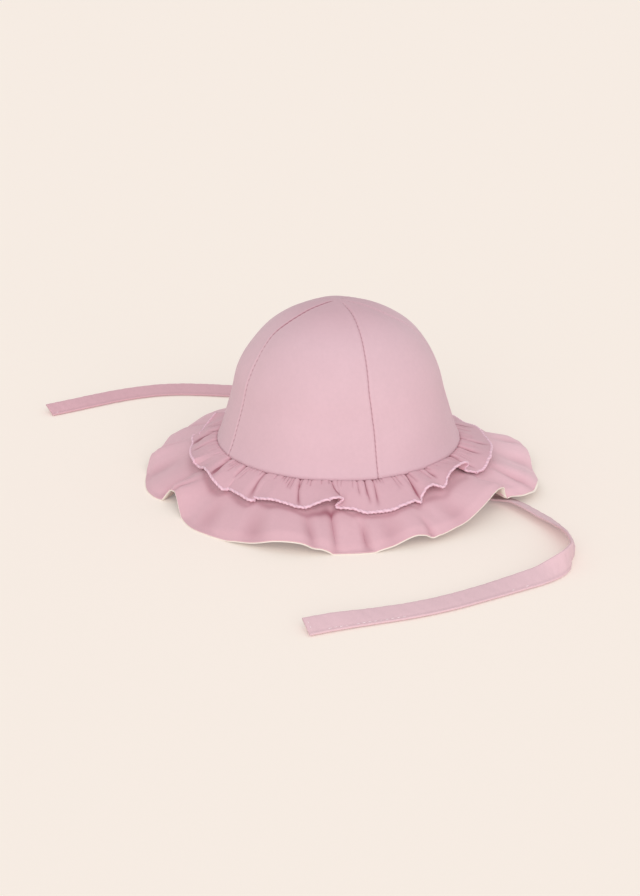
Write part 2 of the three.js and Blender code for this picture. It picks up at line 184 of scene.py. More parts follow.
# The ties' routes: x, y, height of the lower edge over the table, tilt of the right-hand edge.
TIE_ROUTES = {
    "right": (
        (80, 0, 18.4, 0), (89, -1, 10, 0), (97, -2, 4.2, 2), (104, -2.5, 1, 6),
        (111, -4, 0.4, 13), (118, -7, 0.4, 19), (128, -14, 0.4, 23), (141.5, -24.5, 0.4, 22),
        (154.5, -38, 0.4, 34), (165, -55.5, 0.4, 62), (170.5, -73.5, 0.4, 92),
        (170.5, -87.5, 0.4, 66), (163, -102, 0.4, 30), (151.5, -118, 0.4, 21),
        (139.5, -134, 0.4, 15), (125, -153, 0.4, 14), (109, -170, 0.4, 14), (92, -185, 0.4, 16),
        (79.5, -196.5, 0.4, 22), (66.5, -209.5, 0.4, 24),
    ),
    "left": (
        (-80, 2, 16.4, 0), (-83, 10, 12.5, 0), (-82, 20, 7.5, 1), (-79, 32, 3, 3),
        (-76, 46, 0.6, 5), (-72, 66, 0.4, 6), (-70, 88, 0.4, 6), (-73, 106, 0.4, 7),
        (-86, 120, 0.4, 12), (-107, 122, 0.4, 18), (-130.5, 115.5, 0.4, 21),
        (-149, 111, 0.4, 21), (-165, 105.5, 0.4, 21), (-179, 97.5, 0.4, 21),
        (-195, 82, 0.4, 21), (-208.5, 63, 0.4, 22), (-219, 46.5, 0.4, 22), (-229, 31.5, 0.4, 22),
    ),
}

# Where the thread of the ties is seen in the photograph, in millimetres from the free end. Elsewhere
# only its channel is drawn.
TIE_STITCHES = {"tie_left": ((2, 13),), "tie_right": ((9, 55), (118, 132))}

UP = np.array([0.0, 0.0, 1.0])

# What pink cloth is mixed towards where colour stands in for shade: painted shade in seams, pleats
# and creases, under the ruffle's edge, and where less light falls.
SEAM_SHADE_HEX = "#a2606f"
# What the lining's underside is mixed towards: it stands in for the shadow under the brim.
LINING_SHADE_HEX = "#b28f88"


def linear(hex_colour):
    """The linear RGBA of an sRGB hex colour."""
    channels = [int(hex_colour[place : place + 2], 16) / 255 for place in (1, 3, 5)]
    turned = [c / 12.92 if c <= 0.04045 else ((c + 0.055) / 1.055) ** 2.4 for c in channels]
    return (*turned, 1.0)


def colour_property(name, description, hex_colour):
    """A colour that the panel shows, with its default given in sRGB hex."""
    return bpy.props.FloatVectorProperty(
        name=name, description=description, subtype="COLOR", size=4, min=0, max=1,
        default=linear(hex_colour),
    )


def length_property(name, description, millimetres):
    """A length that the panel shows, with its default given in millimetres."""
    return bpy.props.FloatProperty(
        name=name, description=description, subtype="DISTANCE", unit="LENGTH", min=0,
        default=millimetres * MM,
    )


class HatClothSettings(bpy.types.PropertyGroup):
    """Colours and sizes of the cloth and of its threads. The pinks differ a little as painted light
    and shade, though the pieces look cut from one cloth: each piece's pink is lighter or darker as
    more or less light falls on it."""

    crown: colour_property("Crown cotton", "Colour of the crown", "#dab7c0")
    brim: colour_property("Brim cotton", "Colour of the brim", "#efc6cf")
    ruffle: colour_property("Ruffle cotton", "Colour of the ruffle", "#daafb9")
    tie_right: colour_property("Right tie", "Colour of the right tie", "#e2bfc6")
    tie_left: colour_property("Left tie", "Colour of the left tie", "#d8acb5")
    cream: colour_property("Cream lining", "Colour of the lining", "#faf1e6")
    edge_thread: colour_property("Edge thread", "Thread that overlocks the ruffle's edge", "#efc7d6")
    tie_thread: colour_property("Tie thread", "Thread that closes the ties", "#f7e3e7")
    weave: length_property("Weave", "Distance between two threads of the weave as drawn", 0.5)
    stitch: length_property("Stitch", "Length of one stitch with its gap", 3.2)
    seam_depth: length_property("Seam depth", "How far the cloth dips into a seam", 0.45)
    seam_width: length_property("Seam width", "How wide the dip beside a seam is", 1.0)
    edge_width: length_property("Edge width", "Width of the ruffle's overlocked edge", 1.7)


class HatStageSettings(bpy.types.PropertyGroup):
    """The floor and the light."""

    floor: colour_property("Floor", "Colour of the floor", "#f5e9dd")
    glow: bpy.props.FloatProperty(
        name="Floor glow", description="Light that the lit sweep under the hat gives off", default=0.14,
        min=0,
    )
    key: bpy.props.FloatProperty(
        name="Key light", description="Strength of the light from the front", default=1.6, min=0
    )
    sky: bpy.props.FloatProperty(
        name="Sky", description="Strength of the even light from all round", default=0.68, min=0
    )


def cloth():
    """The cloth's settings of this scene."""
    return bpy.context.scene.hat_cloth


# Materials


def add_node(tree, kind, inputs=None, **settings):
    """Adds a node with its settings, and sets or links its inputs."""
    made = tree.nodes.new(kind)
    for name, value in settings.items():
        setattr(made, name, value)
    for name, value in (inputs or {}).items():
        if isinstance(value, bpy.types.NodeSocket):
            tree.links.new(value, made.inputs[name])
        else:
            made.inputs[name].default_value = value
    return made


def start_material(name, **shader):
    """A material of this name with a Principled shader whose sockets have these values."""
    material = bpy.data.materials.new(name)
    material.use_nodes = True
    tree = material.node_tree
    tree.nodes.clear()
    surface = add_node(tree, "ShaderNodeBsdfPrincipled", shader)
    add_node(tree, "ShaderNodeOutputMaterial", {"Surface": surface.outputs["BSDF"]})
    return material, tree, surface


# A wave texture of scale 1 repeats after this length.
WAVE_PERIOD = math.pi / 10


def mixed(tree, factor, first, second, blend="MIX"):
    """A colour mix of two colours."""
    made = add_node(
        tree, "ShaderNodeMix", {0: factor, 6: first, 7: second}, data_type="RGBA", blend_type=blend
    )
    return made.outputs[2]


def shade_of(colour, factor):
    """A colour made lighter or darker, in linear light."""
    return (*[min(1.0, channel * factor) for channel in colour[:3]], 1.0)


def cotton(name, colour, shadow, soft_relief=0.18):
    """Plain-woven cotton: a matt cloth of fine crossing threads with a faint bloom of loose fibres.
    Its mottling is a few centimetres wide, as in piece-dyed cloth that has been pressed. Its colour is
    mixed towards a shadow colour by each piece's seam attribute, which paints shade into seams,
    pleats and creases and wherever else a piece is painted darker. A real thread is
    about 0.25 mm; it is drawn at 0.5 mm, because a finer one doesn't show."""
    material, tree, surface = start_material(
        name, **{"Roughness": 0.86, "IOR": 1.47, "Specular IOR Level": 0.25,
                 "Sheen Weight": 0.18, "Sheen Roughness": 0.45},
    )
    pitch = cloth().weave
    pattern = add_node(tree, "ShaderNodeUVMap", uv_map="cloth").outputs["UV"]
    place = add_node(tree, "ShaderNodeTexCoord").outputs["Object"]
    threads = []
    for direction in ("X", "Y"):
        wave = add_node(
            tree, "ShaderNodeTexWave",
            {"Vector": pattern, "Scale": WAVE_PERIOD / pitch, "Distortion": 0.6, "Detail": 1.0,
             "Detail Scale": 0.4},
            bands_direction=direction,
        )
        threads.append(wave.outputs["Color"])
    over = add_node(tree, "ShaderNodeTexChecker", {"Vector": pattern, "Scale": 1 / pitch})
    weave = mixed(tree, over.outputs["Fac"], *threads)
    slub = add_node(
        tree, "ShaderNodeTexNoise", {"Vector": place, "Scale": 420.0, "Detail": 2.0}
    ).outputs["Fac"]
    soft = add_node(
        tree, "ShaderNodeTexNoise", {"Vector": place, "Scale": 32.0, "Detail": 3.0, "Roughness": 0.45}
    ).outputs["Fac"]
    mottle = add_node(
        tree, "ShaderNodeMapRange", {"Value": soft, "From Min": 0.35, "From Max": 0.65}
    ).outputs["Result"]
    dyed = mixed(tree, mottle, shade_of(colour, 0.985), shade_of(colour, 1.015))
    fibres = add_node(
        tree, "ShaderNodeMapRange",
        {"Value": slub, "From Min": 0.3, "From Max": 0.7, "To Min": 0.985, "To Max": 1.01},
    ).outputs["Result"]
    dyed = mixed(tree, 1.0, dyed, fibres, "MULTIPLY")
    # The seam attribute mixes the colour towards the shadow colour: painted shade.
    seam = add_node(tree, "ShaderNodeAttribute", attribute_name="seam").outputs["Fac"]
    tree.links.new(mixed(tree, seam, dyed, shadow), surface.inputs["Base Color"])
    relief = add_node(
        tree, "ShaderNodeBump", {"Strength": 0.5, "Distance": 0.06 * MM, "Height": weave}
    )
    relief = add_node(
        tree, "ShaderNodeBump",
        {"Strength": 0.3, "Distance": 0.08 * MM, "Height": slub, "Normal": relief.outputs["Normal"]},
    )
    relief = add_node(
        tree, "ShaderNodeBump",
        {"Strength": soft_relief, "Distance": 3 * MM, "Height": soft,
         "Normal": relief.outputs["Normal"]},
    )
    tree.links.new(relief.outputs["Normal"], surface.inputs["Normal"])
    return material


def spun_thread(name, colour, twist):
    """Spun polyester sewing thread: two plies twisted round each other, painted lighter along their
    tops and darker between them as painted highlight and shade. Its pattern runs along the
    piece's own UV map."""
    material, tree, surface = start_material(
        name, **{"Roughness": 0.6, "IOR": 1.55, "Specular IOR Level": 0.4, "Sheen Weight": 0.2}
    )
    pattern = add_node(tree, "ShaderNodeUVMap", uv_map="cloth").outputs["UV"]
    plies = add_node(
        tree, "ShaderNodeTexWave",
        {"Vector": pattern, "Scale": WAVE_PERIOD / (twist * MM), "Distortion": 0.8},
        bands_direction="DIAGONAL",
    )
    shade = mixed(tree, plies.outputs["Fac"], shade_of(colour, 0.86), shade_of(colour, 1.06))
    tree.links.new(shade, surface.inputs["Base Color"])
    relief = add_node(
        tree, "ShaderNodeBump", {"Strength": 0.6, "Distance": 0.15 * MM, "Height": plies.outputs["Fac"]}
    )
    tree.links.new(relief.outputs["Normal"], surface.inputs["Normal"])
    return material


def card(name, colour, glow):
    """Matt card over a light table: an even paper surface with a faint grain, no gloss and a weak
    light of its own, which keeps the shadows on it soft."""
    material, tree, surface = start_material(
        name, **{"Roughness": 0.95, "Specular IOR Level": 0.05,
                 "Emission Color": linear("#f3f2f8"), "Emission Strength": glow},
    )
    place = add_node(tree, "ShaderNodeTexCoord").outputs["Object"]
    grain = add_node(tree, "ShaderNodeTexNoise", {"Vector": place, "Scale": 900.0}).outputs["Fac"]
    shade = mixed(tree, grain, shade_of(colour, 0.995), shade_of(colour, 1.005))
    tree.links.new(shade, surface.inputs["Base Color"])
    return material


# Shapes


def around_axis(azimuth, radius, height):
    """Points at azimuths in degrees, distances from the hat's axis and heights."""
    turn = np.radians(azimuth)
    return np.stack(np.broadcast_arrays(radius * np.sin(turn), -radius * np.cos(turn), height), -1)


def smoothstep(value, low, high):
    share = np.clip((value - low) / (high - low), 0, 1)
    return share * share * (3 - 2 * share)


def apart(azimuth, place):
    """How many degrees azimuths are past a place, from -180 to 180."""
    return (azimuth - place + 180) % 360 - 180


def crest(azimuth, place, wide):
    """A wave's height, 1 at its crest and 0 past its half width."""
    away = np.minimum(np.abs(apart(azimuth, place)), wide)
    return (1 + np.cos(math.pi * away / wide)) / 2


def fold_sums(folds, azimuth):
    """The lift, pull and lean that the folds of a table add at azimuths."""
    sums = np.zeros((3, *np.shape(azimuth)))
    for place, wide, *amounts in folds:
        wave = crest(azimuth, place, wide)
        for number, amount in enumerate(amounts):
            sums[number] += amount * wave
    return sums


def hem_taper(share):
    """How thick the layers of the brim still are towards the hem, where they are pressed flat."""
    return 1 - 0.6 * smoothstep(share, 0.86, 1)


def brim_relief(azimuth, share, ridges=0.5):
    """How deep the brim's soft creases are, in millimetres, with the ridges beside them."""
    total = np.zeros(np.broadcast(azimuth, share).shape)
    for place, wide, depth, slant, begin, deepest in BRIM_CREASES:
        at = place + slant * share
        groove = crest(azimuth, at, wide) - ridges * crest(azimuth, at + 1.4 * wide, 1.8 * wide)
        fade = smoothstep(share, begin, deepest) * (1 - 0.6 * smoothstep(share, deepest, 1.05))
        total = total + 1.25 * depth * groove * fade
    return total


def brim_under(azimuth, share):
    """The underside of the brim's lining, as in the CAD source, with its soft creases."""
    growth = np.clip(share, 0, None) ** 1.3
    lift, pull, lean = fold_sums(BRIM_FOLDS, azimuth)
    fall = (SEAM_HEIGHT - SEAM_STACK) * (1 - share / (1 - HEM_SHARE))
    height = fall + SEAM_HEIGHT * lift * growth
    height = height - brim_relief(azimuth, share)
    rest = 0.5
    height = (height + np.sqrt(height * height + rest * rest)) / 2
    radius = BRIM_INNER + BRIM_SPAN * (share - pull * growth)
    return around_axis(azimuth + lean * growth, radius, height)


def lining_under(azimuth, share):
    """The same surface under a hem that reaches past the brim's, straight on."""
    inside = brim_under(azimuth, np.minimum(share, 1))
    band = brim_under(azimuth, np.minimum(share, 1) - HEM_SHARE)
    past = inside + (inside - band) * (np.maximum(share - 1, 0) / HEM_SHARE)[..., None]
    past[..., 2] = np.maximum(past[..., 2], 0.02)
    return past


def upwards(surface, azimuth, share):
    """The directions that stand on a sheet's upper side, straight up along the seam."""
    place = np.minimum(share, 1)
    around = surface(azimuth + 0.25, place) - surface(azimuth - 0.25, place)
    outwards = surface(azimuth, np.minimum(place + 0.01, 1)) - surface(
        azimuth, np.maximum(place - 0.01, 0)
    )
    standing = np.cross(outwards, around)
    standing /= np.linalg.norm(standing, axis=-1, keepdims=True)
    level = smoothstep(share, 0, 0.15)[..., None]
    standing = standing * level + UP * (1 - level)
    return standing / np.linalg.norm(standing, axis=-1, keepdims=True)


def raised(surface, distance):
    """A surface that lies a distance over another one."""
    return lambda azimuth, share: surface(azimuth, share) + (
        upwards(surface, azimuth, share) * np.asarray(distance)[..., None]
    )


class Gathers:
    """The small gathers that the ruffle's seam draws in: their azimuths, half widths in degrees,
    depths in millimetres and how far they run."""

    def __init__(self, seed, spacing):
        chance = np.random.default_rng(seed)
        places = []
        place = 0.0
        while place < 360 - spacing / 2:
            places.append(place)
            place += spacing * chance.choice((0.5, 0.7, 1.1, 1.9)) * chance.uniform(0.8, 1.2)
        count = len(places)
        self.rows = np.stack(
            [places, chance.uniform(0.26, 0.45, count), chance.uniform(0.5, 1.3, count),
             chance.uniform(0.42, 0.76, count) ** 2], -1
        )

    def depth(self, azimuth, share):
        total = np.zeros(np.broadcast(azimuth, share).shape)
        for place, wide, depth, run in self.rows:
            away = np.abs(apart(azimuth, place))
            near = away < 4 * wide
            if near.any():
                spread = wide * (1 + share[near])
                fade = np.sqrt(np.clip(1 - share[near] / run, 0, 1))
                total[near] += depth * np.exp(-((away[near] / spread) ** 2)) * fade
        return total


GATHERS = Gathers(11, 2.5)


def edge_curves():
    """The ruffle's edge at every tenth of a degree from its first point: how far it slides round,
    its reach and its stand, rounded over about a millimetre."""
    rows = np.array([*RUFFLE_EDGE, np.add(RUFFLE_EDGE[0], (360, 360, 0, 0))])
    place = rows[0, 0] + np.arange(3600) / 10
    curves = [np.interp(place, rows[:, 0], column) for column in rows[:, 1:].T]
    curves[0] -= place
    round_over = np.exp(-0.5 * (np.arange(-12, 13) / 3.6) ** 2)
    round_over /= round_over.sum()
    return [np.convolve([*curve[-12:], *curve, *curve[:13]], round_over, "valid") for curve in curves]


EDGE_CURVES = edge_curves()


def pleat_depth(azimuth, share, sharp=1):
    """How deep the ruffle's long pleats and small gathers are, in millimetres."""
    total = GATHERS.depth(azimuth, share)
    for place, wide, depth, run, lean in RUFFLE_PLEATS:
        away = np.abs(apart(azimuth, place + lean * share)) / (wide * sharp * (1 + 1.2 * share))
        fade = smoothstep(share, -0.02, 0.06) * (1 - smoothstep(share, run * 0.5, run * 1.15))
        total = total + depth * np.exp(-(away**2)) * fade
    return total


def ruffle_under(azimuth, share):
    """The underside of the ruffle: its edge, pleats from the seam and small gathers."""
    at = (azimuth - RUFFLE_EDGE[0][0]) % 360 * 10
    slide, reach, stand = (np.interp(at, np.arange(3601), curve) for curve in EDGE_CURVES)
    inside = np.clip(share, 0, None)
    growth = inside**1.4
    clear = CLOTH_GAP + (RUFFLE_CLEAR - CLOTH_GAP) * np.sqrt(inside)
    puff = 1.7 * smoothstep(share, -0.02, 0.12) * (1 - 0.8 * smoothstep(share, 0.3, 1))
    puff = puff * (1 - 0.95 * crest(azimuth, 138, 40))
    height = clear + (stand - RUFFLE_CLEAR) * growth
    height = height + np.maximum(puff - pleat_depth(azimuth, share), -0.25)
    return raised(brim_under, BRIM_STACK + height)(
        azimuth + slide * growth, share * reach / BRIM_SPAN
    )


# Meshes


def finish_piece(name, bm, materials, smooth=True):
    """Makes an object of a finished bmesh in metres, with smooth faces."""
    mesh = bpy.data.meshes.new(name)
    bm.to_mesh(mesh)
    bm.free()
    for material in materials:
        mesh.materials.append(material)
    mesh.polygons.foreach_set("use_smooth", [smooth] * len(mesh.polygons))
    made = bpy.data.objects.new(name, mesh)
    bpy.context.scene.collection.objects.link(made)
    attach(made, "root")
    return made


def places_of(mesh):
    """A mesh's vertices as rows of numbers."""
    places = np.zeros(len(mesh.vertices) * 3)
    mesh.vertices.foreach_get("co", places)
    return places.reshape(-1, 3)


def lay(made, places, pattern, seam=None):
    """Moves a piece's vertices to places in millimetres, gives it the flat pattern as its UV map,
    and keeps in its seam attribute how much painted shade each vertex takes."""
    mesh = made.data
    mesh.vertices.foreach_set("co", (places * MM).ravel())
    corners = np.zeros(len(mesh.loops), np.int32)
    mesh.loops.foreach_get("vertex_index", corners)
    uv_map = mesh.uv_layers.new(name="cloth")
    uv_map.data.foreach_set("uv", (pattern * MM)[corners].ravel())
    depth = mesh.attributes.new("seam", "FLOAT", "POINT")
    depth.data.foreach_set("value", np.zeros(len(places)) if seam is None else seam)
    mesh.update()
    return made


def ring_of(name, section, columns, materials):
    """A closed ring with a closed section of (share, level) points. The radius is 1 + share, so
    that a vertex still says where on the cloth it is."""
    bm = bmesh.new()
    bmesh.ops.create_grid(bm, x_segments=columns, y_segments=len(section), size=0.5)
    made = finish_piece(name, bm, materials)
    turn, row, _ = (places_of(made.data) + 0.5).T
    share, level = np.array([*section, section[0]])[np.rint(row * len(section)).astype(int)].T
    turn = 2 * math.pi * turn
    ring = np.stack([(1 + share) * np.cos(turn), (1 + share) * np.sin(turn), level], -1)
    made.data.vertices.foreach_set("co", ring.ravel())
    bm = bmesh.new()
    bm.from_mesh(made.data)
    bmesh.ops.remove_doubles(bm, verts=bm.verts, dist=1e-5)
    bmesh.ops.recalc_face_normals(bm, faces=bm.faces)
    bm.to_mesh(made.data)
    bm.free()
    return made


def ring_places(made):
    """The azimuth in degrees, the share and the level of each vertex of a ring."""
    x, y, level = places_of(made.data).T
    return np.degrees(np.arctan2(y, x)), np.hypot(x, y) - 1, level


def round_edge(wall, steps=6):
    """(how far out, level) of points round a folded edge, from the upper side to the lower."""
    turns = np.linspace(math.pi / 2, -math.pi / 2, steps + 1)
    return [(wall / 2 * math.cos(turn) - wall / 2, 0.5 * math.sin(turn)) for turn in turns]


def cloth_ring(name, surface, wall, span, reach, shares, columns, materials, taper, shade=None, shaded=1):
    """A ring of cloth with a folded outer edge over an under surface. reach gives the share of the
    edge at each azimuth; levels run from -0.5 under the cloth to 0.5 on top of it; taper thins the
    wall by share; shade gives how much painted shade each place takes, on the upper side or the
    under side."""
    outer = [(share, 0.5) for share in shares[:-1]]
    edge = [(1 + out / span, level) for out, level in round_edge(wall * float(taper(1.0)))]
    under = [(share, -0.5) for share in reversed(shares[:-1])]
    made = ring_of(name, outer + edge + under, columns, materials)
    azimuth, share, level = ring_places(made)
    laid = share * reach(azimuth)
    places = raised(surface, wall * taper(laid) * (level + 0.5))(azimuth, laid)
    radius = SEAM_RADIUS + laid * span
    turn = np.radians(azimuth)
    pattern = np.stack([radius * np.sin(turn), radius * np.cos(turn)], -1)
    lay(made, places, pattern, None if shade is None else shade(azimuth, laid) * (level * shaded > 0))
    return made


def dashes(name, places, forward, up, size, material):
    """Stitches in one mesh: a small rounded thread at each place, along its direction."""
    bm = bmesh.new()
    uv_layer = bm.loops.layers.uv.new("cloth")
    long, wide, high = (length * MM / 2 for length in size)
    for place, ahead, above in zip(places, forward, up):
        ahead = Vector(ahead).normalized()
        side = Vector(above).cross(ahead).normalized()
        turn = Matrix((ahead, side, ahead.cross(side))).transposed().to_4x4()
        bmesh.ops.create_uvsphere(
            bm, u_segments=6, v_segments=5, radius=1,
            matrix=Matrix.Translation(Vector(place) * MM) @ turn
            @ Matrix.Diagonal((long, wide, high, 1)) @ Matrix.Rotation(math.pi / 2, 4, "Y"),
            calc_uvs=True,
        )
    for face in bm.faces:
        for loop in face.loops:
            loop[uv_layer].uv = loop[uv_layer].uv * size[0] * MM
    return finish_piece(name, bm, [material])


# Lines


def line_through(points, power, mirrored, per_span=24):
    """A Catmull-Rom line through points, as the CAD source draws it: power 0 is uniform and 0.5
    centripetal, and its ends are mirrored or repeated."""
    points = np.asarray(points, float)
    first = 2 * points[0] - points[1] if mirrored else points[0]
    last = 2 * points[-1] - points[-2] if mirrored else points[-1]
    padded = np.vstack([first, points, last])
    steps = np.maximum(np.linalg.norm(np.diff(padded, axis=0), axis=1), 1e-6) ** power
    if power == 0:
        steps = np.ones(len(steps))
    drawn = []
    for number in range(len(points) - 1):
        p0, p1, p2, p3 = padded[number : number + 4]
        d0, d1, d2 = steps[number : number + 3]
        start = ((p1 - p0) / d0 - (p2 - p0) / (d0 + d1) + (p2 - p1) / d1) * d1
        end = ((p2 - p1) / d1 - (p3 - p1) / (d1 + d2) + (p3 - p2) / d2) * d1
        share = np.linspace(0, 1, per_span, endpoint=False)[:, None]
        drawn.append(
            p1 + start * share + (-3 * p1 + 3 * p2 - 2 * start - end) * share**2
            + (2 * p1 - 2 * p2 + start + end) * share**3
        )
    return np.vstack([*drawn, points[-1:]])


def along(line):
    """The distance along a line at each of its points."""
    return np.concatenate([[0], np.cumsum(np.linalg.norm(np.diff(line, axis=0), axis=1))])


def evenly(line, count, *values):
    """A line again with evenly spaced points, and values along it at them."""
    run = along(line)
    at = np.linspace(0, run[-1], count)
    drawn = np.stack([np.interp(at, run, line[:, axis]) for axis in range(line.shape[1])], -1)
    return (drawn, *[np.interp(at, run, value) for value in values])


# Crown

CROWN_LINE = evenly(
    line_through(
        [(radius * SEAM_RADIUS, SEAM_HEIGHT + height * CROWN_HEIGHT) for height, radius in CROWN_SECTIONS],
        0, mirrored=False,
    ),
    800,
)[0]
CROWN_LENGTH = along(CROWN_LINE)[-1]


def crown_point(share, depth):
    """Points of the crown's section, as radius and height, a depth inside its outer face."""
    at = np.clip(share, 0, 1) * (len(CROWN_LINE) - 1)
    number = np.arange(len(CROWN_LINE))
    tangents = np.gradient(CROWN_LINE, axis=0)
    tangents /= np.linalg.norm(tangents, axis=1, keepdims=True)
    radius, height, run, fall = (
        np.interp(at, number, values) for values in (*CROWN_LINE.T, *tangents.T)
    )
    level = smoothstep(share, 0.85, 1)
    outwards = np.stack([-fall * (1 - level) + level, run * (1 - level)], -1)
    outwards /= np.linalg.norm(outwards, axis=-1, keepdims=True)
    return radius - outwards[..., 0] * depth, height - outwards[..., 1] * depth


def soft_noise(azimuth, share, seed, waves=5):
    """Low soft dents, about as deep as 1, that meet again after a full turn."""
    chance = np.random.default_rng(seed)
    total = 0
    for wave in range(1, waves + 1):
        for rows in range(1, 4):
            turn, slide = chance.uniform(0, 2 * math.pi, 2)
            size = chance.normal() / (wave + rows)
            total = total + size * np.cos(wave * np.radians(azimuth) + turn) * np.cos(
                rows * math.pi * share + slide
            )
    return total


def seam_wander(number, share):
    """How many degrees a crown seam is off its azimuth, by the share of the way down."""
    if number % len(CROWN_SEAMS) >= len(SEAM_WANDERS):
        return np.zeros_like(share)
    at, off = np.transpose(SEAM_WANDERS[number % len(CROWN_SEAMS)])
    soft = [np.interp(share + step, at, off) for step in np.linspace(-0.03, 0.03, 7)]
    return np.mean(soft, axis=0)


def gore(number, materials):
    """One panel of the crown, which dips into the seams at both its sides. Its columns are closer
    beside the seams."""
    first = CROWN_SEAMS[number]
    last = CROWN_SEAMS[number + 1] if number + 1 < len(CROWN_SEAMS) else CROWN_SEAMS[0] + 360
    columns, rows = 56, 220
    bm = bmesh.new()
    bmesh.ops.create_grid(bm, x_segments=columns, y_segments=rows, size=0.5)
    made = finish_piece(f"crown_gore_{number + 1}", bm, materials)
    across, share, _ = (places_of(made.data) + 0.5).T
    share = 1 - share
    centred = 2 * across - 1
    across = 0.5 + 0.5 * np.sign(centred) * (1 - (1 - np.abs(centred)) ** 1.7)
    begin, end = first + seam_wander(number, share), last + seam_wander(number + 1, share)
    turn = np.radians(end - begin)
    radius, _ = crown_point(share, 0)
    from_seam = np.minimum(across, 1 - across) * turn * radius
    settings = cloth()
    width, depth = settings.seam_width / MM, settings.seam_depth / MM
    azimuth = begin + (end - begin) * across
    stitch = along(CROWN_LINE)[-1] * share / (settings.stitch / MM)
    beside = np.where(across < 0.5, 0.0, 0.37)
    pucker = 0.5 + 0.5 * np.cos(2 * math.pi * (stitch + beside))
    dip = np.exp(-((from_seam / (0.55 * width)) ** 1.5)) * depth
    welt = 0.22 * np.exp(-(((from_seam - 1.9 * width) / width) ** 2))
    ripple = 0.16 * pucker * np.exp(-((from_seam - 0.4 * width) / (1.3 * width)) ** 2)
    open_up = smoothstep(share, 0.02, 0.12)
    puff = PANEL_PUFF * np.sin(math.pi * across) * np.sin(math.pi * share)
    dents = 0.55 * soft_noise(azimuth, share, 5) * smoothstep(share, 0.1, 0.3) * (
        1 - 0.7 * smoothstep(share, 0.85, 1)
    ) - 2.0 * crest(azimuth, -68, 40) * crest(360 * share, 155, 75)
    tuck = 0.5 * smoothstep(share, 0.985, 1)
    inset = dip * (0.35 + 0.65 * open_up) + tuck - (welt + ripple) * open_up - puff - dents
    radius, height = crown_point(share, inset)
    radius = np.maximum(radius, 0)
    height = height - 0.5 * smoothstep(share, 0.99, 1)
    flat = np.stack([(across - 0.5) * turn * radius, share * CROWN_LENGTH], -1)
    # Painted shade: darker in the seams' grooves, in dashes at the stitches' pace, wider and darker along
    # the upper part of the left seam, and in a thin line along the crown's lower edge.
    left = crest(np.where(across < 0.5, first, last), CROWN_SEAMS[0], 10)
    left_seam_shade = left * (1 - smoothstep(share, 0.3, 0.5))
    seam = (0.8 + 0.2 * left_seam_shade) * np.exp(-((from_seam / ((0.26 + 0.44 * left_seam_shade) * width)) ** 2))
    seam = seam * (0.25 + 0.75 * np.maximum(pucker, left_seam_shade))
    seam = np.maximum(seam * smoothstep(share, 0.01, 0.05), 0.35 * smoothstep(share, 0.994, 1))
    # Painted shade: the top is a little darker, as where less light falls on it.
    seam = np.maximum(seam, 0.2 * (1 - smoothstep(share, 0.08, 0.42)))
    lay(made, around_axis(azimuth, radius, height), flat, seam)
    bm = bmesh.new()
    bm.from_mesh(made.data)
    bmesh.ops.remove_doubles(bm, verts=bm.verts, dist=1e-6)
    bmesh.ops.recalc_face_normals(bm, faces=bm.faces)
    if sum(face.normal.z * face.calc_area() for face in bm.faces) < 0:
        bmesh.ops.reverse_faces(bm, faces=bm.faces)
    bm.to_mesh(made.data)
    bm.free()
    wall = made.modifiers.new("wall", "SOLIDIFY")
    wall.thickness = CROWN_WALL * MM
    wall.offset = -1
    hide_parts(f"crown_panel_{number + 1}")
    return made


class HAT_OT_camera(bpy.types.Operator):
    """Sets the camera at the photograph's angle"""

    bl_idname = "hat.camera"
    bl_label = "Camera"

    def execute(self, context):
        azimuth, elevation = math.radians(22), math.radians(20.4)
        back = Vector(
            (math.sin(azimuth) * math.cos(elevation), -math.cos(azimuth) * math.cos(elevation),
             math.sin(elevation))
        )
        data = bpy.data.cameras.new("camera")
        long_side = 896
        data.sensor_width = 36
        data.lens = 1752.6 / long_side * data.sensor_width
        data.shift_x, data.shift_y = -18.5 / long_side, -12.3 / long_side
        data.clip_start, data.clip_end = 0.05, 60
        camera = bpy.data.objects.new("camera", data)
        context.scene.collection.objects.link(camera)
        camera.location = Vector((0, 0, SEAM_HEIGHT * MM)) + back * 1.1
        camera.rotation_euler = back.to_track_quat("Z", "Y").to_euler()
        context.scene.camera = camera
        return {"FINISHED"}


